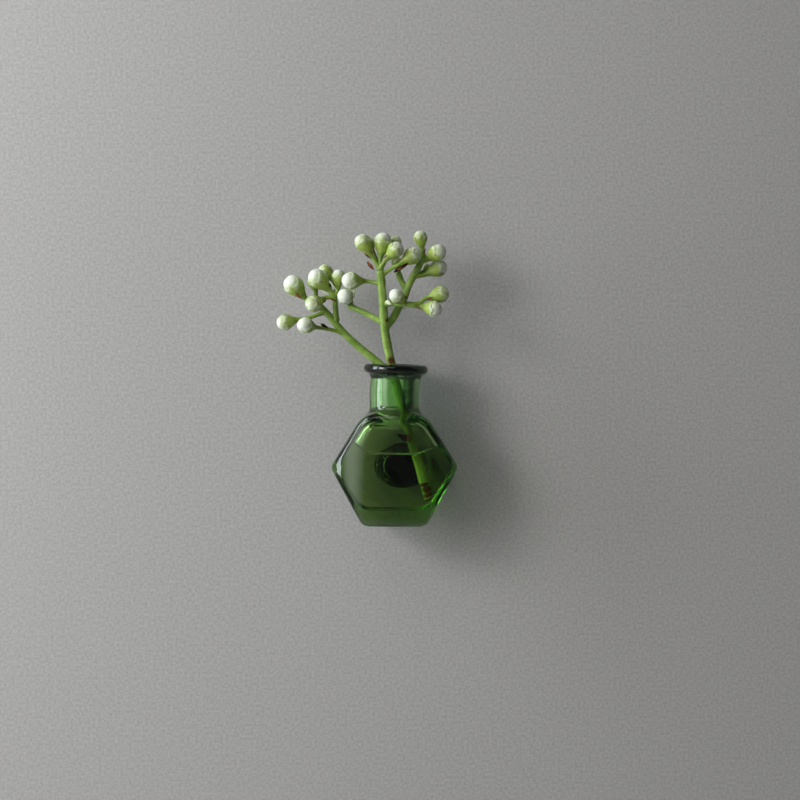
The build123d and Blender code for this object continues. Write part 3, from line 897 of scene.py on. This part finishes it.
class BUDVASE_OT_stems(bpy.types.Operator):
    """The cut stem, its branches and twigs"""
    bl_idname = "budvase.stems"
    bl_label = "Stems"

    def execute(self, context):
        finish = stem_finish(context.scene.sprig_looks)
        grow_stem("main_stem", MAIN_LINE, 2.95, 2.5, MAIN_KNOTS, MAIN_SCARS, finish, cut=True)
        for name, (size, points) in BRANCH_LINES.items():
            points = np.array(points)
            points[-1] += 0.7 * unit(points[-1] - points[-2])
            whole = np.linalg.norm(np.diff(points, axis=0), axis=1).sum()
            knots = [(0.6, 0.25), (whole - 1.1, 0.16)]
            grow_stem(name, points, size * 1.06, size * 0.94, knots, [], finish)
        return {"FINISHED"}


def bud_place(number, foot):
    """Middle and radius of a bud, from its node in the frame, and its axis from the cup's foot."""
    low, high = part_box(f"bud_{number:02d}")
    centre = np.array((low + high) / 2)
    return centre, max(high - low) / 2, unit(centre - np.array(foot) * MM)


def cup_points(number, foot, opened, run, around):
    """Rings of a stalk and its cup in one: circles along the stalk, then along the bud's axis
    the pear outline up to a rim whose height changes round it in five uneven teeth, and
    the rim's thin edge turned in under the petals."""
    centre, radius, axis = bud_place(number, foot)
    neck, start = (centre + axis * place * radius for place in (-2.3, CUP_START))
    line, along = stem_line([*run[::-1], neck / MM, start / MM], 0.3 * MM)
    line = line[:-1]
    shift = number * 1.7
    teeth = 0.58 - 0.55 * np.abs(np.sin(2.5 * around + shift)) ** 0.7 - opened * 0.30
    teeth = teeth + 0.12 * np.sin(3 * around + 2 * shift) + 0.05 * np.sin(9 * around + shift)
    share = np.linspace(0, 1, CUP_RINGS)[:, None]
    height = CUP_START + (teeth - CUP_START) * share
    wide = np.interp(height, CUP_HEIGHTS, CUP_WIDTHS)
    wide = wide * (1 + 0.02 * np.sin(4 * around + shift) * share)
    height = np.concatenate([height, [teeth + 0.02, teeth - 0.10, 0 * teeth - 0.6]])
    wide = np.concatenate([wide, [wide[-1] - 0.035, 0 * teeth + 0.96, 0 * teeth + 0.5]])
    ahead, first, second = across(np.concatenate([line, [centre - axis * radius * 1.5]]))
    ring = circle(around, first[-1], second[-1])
    cup = centre + radius * (height[..., None] * axis + wide[..., None] * ring)
    slim = 0.62 * MM * (1 + 0.6 * bell(along[:-1], 1.6 * MM))
    end = np.linalg.norm(line - centre, axis=1) / radius
    taper = radius * np.interp(-end, CUP_HEIGHTS, CUP_WIDTHS, left=0.02) * (end < 4)
    size = (slim**6 + taper**6) ** (1 / 6)
    stalk = tube(line, size[:, None] * (1 + 0.05 * np.cos(3 * around + 1)), around)
    rim = np.concatenate([np.zeros((len(stalk), 1)), share, np.ones((3, 1))])
    return np.concatenate([stalk, cup]), rim, [line[0], centre - axis * 0.6 * radius]


def petal_points(number, foot, around):
    """Rings of a closed bud: a ball whose radius steps a little at each of five petal edges,
    which wind round the tip, and which is drawn to a low point at the tip."""
    centre, radius, axis = bud_place(number, foot)
    polar = np.linspace(0, np.pi, 40)[1:-1, None]
    shift = number * 2.3
    wound = around + 1.5 * np.cos(polar) + shift
    saw = np.mod(5 * wound / (2 * np.pi), 1)
    step = 0.012 * saw**3 * np.sin(polar) ** 0.7
    size = 1 + step - 0.03 * bell(polar, 0.35) + 0.015 * np.sin(2 * around + shift)
    size = size + 0.01 * np.sin(5 * around + 4 * polar + shift)
    first = unit(np.cross(np.eye(3)[np.argmin(np.abs(axis))], axis))
    spread = np.sin(polar)[..., None] * circle(around, first, np.cross(axis, first))
    rings = centre + 0.985 * radius * size[..., None] * (np.cos(polar)[..., None] * axis + spread)
    ends = [centre - axis * 0.985 * radius, centre + axis * 0.95 * radius]
    return rings[::-1], (1 + np.cos(polar[::-1])) / 2, saw[::-1], ends


class BUDVASE_OT_buds(bpy.types.Operator):
    """The closed white buds and the green cups and stalks that hold them"""
    bl_idname = "budvase.buds"
    bl_label = "Buds"

    def execute(self, context):
        looks = context.scene.sprig_looks
        around = turns(ROUND["bud"])
        cup_finish = self.cup_finish(looks)
        petal_finish = self.petal_finish(looks)
        for number, foot, opened, run in BUDS:
            rings, rim, ends = cup_points(number, foot, opened, run, around)
            surface(f"green_cup_{number:02d}", rings, ends, "sprig", cup_finish,
                    {"rim": rim}, [f"calyx_{number:02d}"])
            rings, tip, saw, ends = petal_points(number, foot, around)
            values = {"tip": tip + 0.6 * (opened - 0.45), "overlap": saw}
            surface(f"petal_ball_{number:02d}", rings, ends, "sprig", petal_finish,
                    values, [f"bud_{number:02d}"])
        return {"FINISHED"}

    def cup_finish(self, looks):
        finish = Finish("calyx_green")
        rim = finish.attribute("rim")
        patches = finish.noise(620.0, 3.0, 0.6)
        fine = finish.noise(2200.0, 2.0)
        edge = (rim + patches * 0.9 - 0.45).between(0.62, 1.05)
        green = finish.mix(patches.between(0.35, 0.7), looks.calyx, toned(looks.calyx, 0.72))
        green = finish.mix((1 - rim).between(0.75, 1.0) * 0.5, green, looks.stem)
        rust = finish.noise(900.0, 2.0).between(0.58, 0.70) * rim.between(0.4, 0.9)
        green = finish.mix(edge, green, looks.calyx_pale)
        finish.shade(
            Base_Color=finish.mix(rust * 0.75, green, looks.bract),
            Roughness=0.42 + fine * 0.2,
            glow=(0.12, 0.5, 0.7, 0.2),
            Normal=finish.bump(fine * 0.5 + patches, 0.3, 0.12 * MM),
        )
        return finish.material

    def petal_finish(self, looks):
        finish = Finish("bud_white")
        tip = finish.attribute("tip")
        seam_shade = finish.attribute("overlap").between(0.86, 1.0)
        patches = finish.noise(620.0, 3.0, 0.6)
        fine = finish.noise(2600.0, 3.0, 0.7)
        white = (tip + patches * 1.3 - 0.65).between(0.38, 1.0)
        shade = finish.mix(white, looks.petal_green, looks.petal)
        shade = finish.mix(fine.between(0.45, 0.75) * 0.4, shade, looks.petal_green)
        # Painted shade along the seams where one petal overlaps the next.
        shade = finish.mix(seam_shade * 0.3, shade, toned(looks.petal_green, 0.75))
        fleck = (finish.noise(1100.0, 2.0) - tip * 0.12).between(0.60, 0.70)
        shade = finish.mix(fleck * 0.55, shade, toned(looks.bract, 1.6))
        finish.shade(
            Base_Color=shade,
            Roughness=0.5 + fine * 0.2,
            glow=(0.15, 0.7, 0.8, 0.6),
            Normal=finish.bump(fine * 0.7 + patches, 0.5, 0.14 * MM),
        )
        return finish.material


def bract_points(first, last, width, curl, around):
    """Rings of a dry bract: flat ellipses along a line that bows towards the front, as wide as the
    sine of the way along, to a small power, and cupped by the square of the place across."""
    first, last = (np.array(place) * MM for place in (first, last))
    share = np.linspace(0.02, 0.98, 26)[:, None]
    front = np.array([0.0, -1.0, 0.0])
    line = first + (last - first) * share + 4 * share * (1 - share) * curl * MM * front
    ahead = unit(np.gradient(line, axis=0))
    flat = unit(np.cross(ahead, front))
    up = np.cross(flat, ahead)
    half = width / 2 * MM * np.sin(np.pi * share**0.8) ** 0.8
    half = half * (1 + 0.12 * np.sin(9 * share + 20 * width))
    wide = half * np.cos(around)
    cupped = half * 0.5 * np.cos(around) ** 2 + (0.03 * MM + 0.12 * half) * np.sin(around)
    rings = line[:, None] + wide[..., None] * flat[:, None] + cupped[..., None] * up[:, None]
    return rings, [first, last]


def droplet_points(middle, radius, around):
    """Rings of a hanging droplet: a ball drawn out below by the fourth power of the cosine of
    the angle from there."""
    polar = np.linspace(0, np.pi, 16)[1:-1, None]
    level = -np.cos(polar) * (1 + 0.25 * np.clip(np.cos(polar), 0, 1) ** 4)
    wide = np.sin(polar) * (1 + 0.04 * np.cos(2 * around))
    rings = np.stack([wide * np.cos(around), wide * np.sin(around), level + 0 * around], axis=-1)
    return rings * radius + middle, [middle - [0, 0, 1.25 * radius], middle + [0, 0, radius]]


class BUDVASE_OT_bracts(bpy.types.Operator):
    """The dry brown bracts, pale scraps and droplets at the forks"""
    bl_idname = "budvase.bracts"
    bl_label = "Bracts"

    def execute(self, context):
        looks = context.scene.sprig_looks
        around = turns(ROUND["bract"])
        tones = {"rust": looks.bract, "dark": toned(looks.bract, 0.1), "pale": looks.calyx_pale}
        finishes = {kind: self.bract_finish(kind, tone) for kind, tone in tones.items()}
        for number, (kind, first, last, width, curl) in enumerate(BRACTS, 1):
            rings, ends = bract_points(first, last, width, curl, around)
            surface(f"bract_{number:02d}", rings, ends, "sprig", finishes[kind])
        clear = self.droplet_finish()
        for number, (middle, radius) in enumerate(DROPLETS, 1):
            rings, ends = droplet_points(np.array(middle) * MM, radius * MM, around)
            surface(f"droplet_{number}", rings, ends, "sprig", clear)
        return {"FINISHED"}

    def droplet_finish(self):
        finish = Finish("droplet")
        dust = finish.noise(2500.0, 2.0)
        finish.shade(
            Base_Color=finish.mix(dust, (0.97, 0.99, 0.97), WHITE),
            Roughness=dust * 0.03,
            IOR=WATER_IOR,
            Transmission_Weight=1.0,
        )
        return finish.material

    def bract_finish(self, kind, tone):
        finish = Finish("bract_" + kind)
        blotch = finish.noise(1500.0, 3.0)
        fine = finish.noise(5000.0, 2.0)
        finish.shade(
            Base_Color=finish.mix(blotch.between(0.35, 0.7), tone, toned(tone, 1.7)),
            Roughness=0.6 + fine * 0.3,
            Specular_IOR_Level=0.1,
            Normal=finish.bump(blotch + fine * 0.5, 0.4, 0.08 * MM),
        )
        return finish.material


class BUDVASE_OT_stage(bpy.types.Operator):
    """The plain wall and floor, the soft lamps and the camera"""
    bl_idname = "budvase.stage"
    bl_label = "Stage"

    def execute(self, context):
        looks = context.scene.stage_looks
        grey = self.plain("wall_grey", looks.wall, True)
        self.plane("wall", (0, 0.02 * MM, 0), (3.0, 0, 0), (0, 0, 3.0), grey)
        grey = self.plain("floor_grey", looks.floor, False)
        self.plane("floor", (0, -1.5, -0.25), (3.0, 0, 0), (0, 1.52, 0), grey)
        for name, *lamp in LAMPS:
            self.lamp(context, name + "_lamp", getattr(looks, name + "_power"), *lamp)
        world = bpy.data.worlds.new("room")
        world.use_nodes = True
        world.node_tree.nodes["Background"].inputs["Color"].default_value = (*looks.world, 1.0)
        context.scene.world = world
        context.scene.view_settings.view_transform = "Standard"
        self.camera(context)
        return {"FINISHED"}

    def plain(self, name, tone, see_through):
        """A slightly mottled grey, which the camera may see through from behind."""
        finish = Finish(name)
        grain = finish.noise(1100.0, 2.0, 0.6)
        slow = finish.noise(5.0, 2.0)
        mottle = (grain * 0.9 + slow * 0.1).between(0.2, 0.8)
        tint = finish.mix(mottle, toned(tone, 0.83), toned(tone, 1.17))
        front = finish.shade(Base_Color=tint, Roughness=0.6 + grain * 0.1)
        if see_through:
            behind = finish.node("ShaderNodeNewGeometry", {}, {}, "Backfacing")
            eye = finish.node("ShaderNodeLightPath", {}, {}, "Is Camera Ray")
            clear = finish.node("ShaderNodeBsdfTransparent", {}, {})
            finish.show(finish.either(behind * eye, front, clear))
        return finish.material

    def plane(self, name, middle, half_across, half_up, material):
        """A flat sheet of the stage, from its middle and half its two sides."""
        middle, one, two = (np.array(v, float) for v in (middle, half_across, half_up))
        corners = [middle - one - two, middle + one - two, middle + one + two, middle - one + two]
        mesh = bpy.data.meshes.new(name)
        mesh.from_pydata([tuple(c) for c in corners], [], [(0, 1, 2, 3)])
        mesh.materials.append(material)
        flat = bpy.data.objects.new(name, mesh)
        bpy.context.scene.collection.objects.link(flat)

    def lamp(self, context, name, power, place, size, tint, soft):
        """A lamp with a flat face. A soft one fades from its middle to its edges."""
        light = bpy.data.lights.new(name, "AREA")
        light.shape = "RECTANGLE"
        light.size, light.size_y = size
        light.energy = power
        light.color = tint
        if soft:
            light.use_nodes = True
            tree = light.node_tree
            face = tree.nodes.new("ShaderNodeNewGeometry")
            ball = tree.nodes.new("ShaderNodeTexGradient")
            ball.gradient_type = "SPHERICAL"
            middle = tree.nodes.new("ShaderNodeMapping")
            middle.inputs["Location"].default_value = (-1.0, -1.0, 0)
            middle.inputs["Scale"].default_value = (2.0, 2.0, 1.0)
            tree.links.new(face.outputs["Parametric"], middle.inputs["Vector"])
            tree.links.new(middle.outputs["Vector"], ball.inputs["Vector"])
            tree.links.new(ball.outputs["Fac"], tree.nodes["Emission"].inputs["Strength"])
        lamp = bpy.data.objects.new(name, light)
        lamp.location = place
        lamp.rotation_euler = (AIM - Vector(place)).to_track_quat("-Z", "Y").to_euler()
        context.scene.collection.objects.link(lamp)

    def camera(self, context):
        lens = bpy.data.cameras.new("camera")
        lens.sensor_fit = "HORIZONTAL"
        lens.angle = LENS_ANGLE
        camera = bpy.data.objects.new("camera", lens)
        camera.location = TARGET + DISTANCE * np.array([0, -np.cos(PITCH), np.sin(PITCH)])
        camera.rotation_euler = (np.pi / 2 - PITCH, 0, 0)
        context.scene.collection.objects.link(camera)
        context.scene.camera = camera


class BUDVASE_PT_panel(bpy.types.Panel):
    """Sizes, colours and the steps in order"""
    bl_label = "Bud vase"
    bl_idname = "BUDVASE_PT_panel"
    bl_space_type = "VIEW_3D"
    bl_region_type = "UI"
    bl_category = "Bud vase"

    def draw(self, context):
        for name, group in GROUPS.items():
            box = self.layout.box()
            for size in group.__annotations__:
                box.prop(getattr(context.scene, name), size)
        for step in STEPS:
            self.layout.operator(step.bl_idname)


STEPS = (BUDVASE_OT_glass, BUDVASE_OT_water, BUDVASE_OT_magnet, BUDVASE_OT_stems,
         BUDVASE_OT_buds, BUDVASE_OT_bracts, BUDVASE_OT_stage)
GROUPS = {"glass_sizes": GlassSizes, "sprig_looks": SprigLooks, "stage_looks": StageLooks}
CLASSES = (*GROUPS.values(), *STEPS, BUDVASE_PT_panel)


def register():
    for made in CLASSES:
        bpy.utils.register_class(made)
    for name, group in GROUPS.items():
        setattr(bpy.types.Scene, name, PointerProperty(type=group))


def unregister():
    for name in GROUPS:
        delattr(bpy.types.Scene, name)
    for made in reversed(CLASSES):
        bpy.utils.unregister_class(made)


def main():
    register()
    bpy.ops.budvase.glass()
    bpy.ops.budvase.water()
    bpy.ops.budvase.magnet()
    bpy.ops.budvase.stems()
    bpy.ops.budvase.buds()
    bpy.ops.budvase.bracts()
    bpy.ops.budvase.stage()


if __name__ == "__main__":
    main()
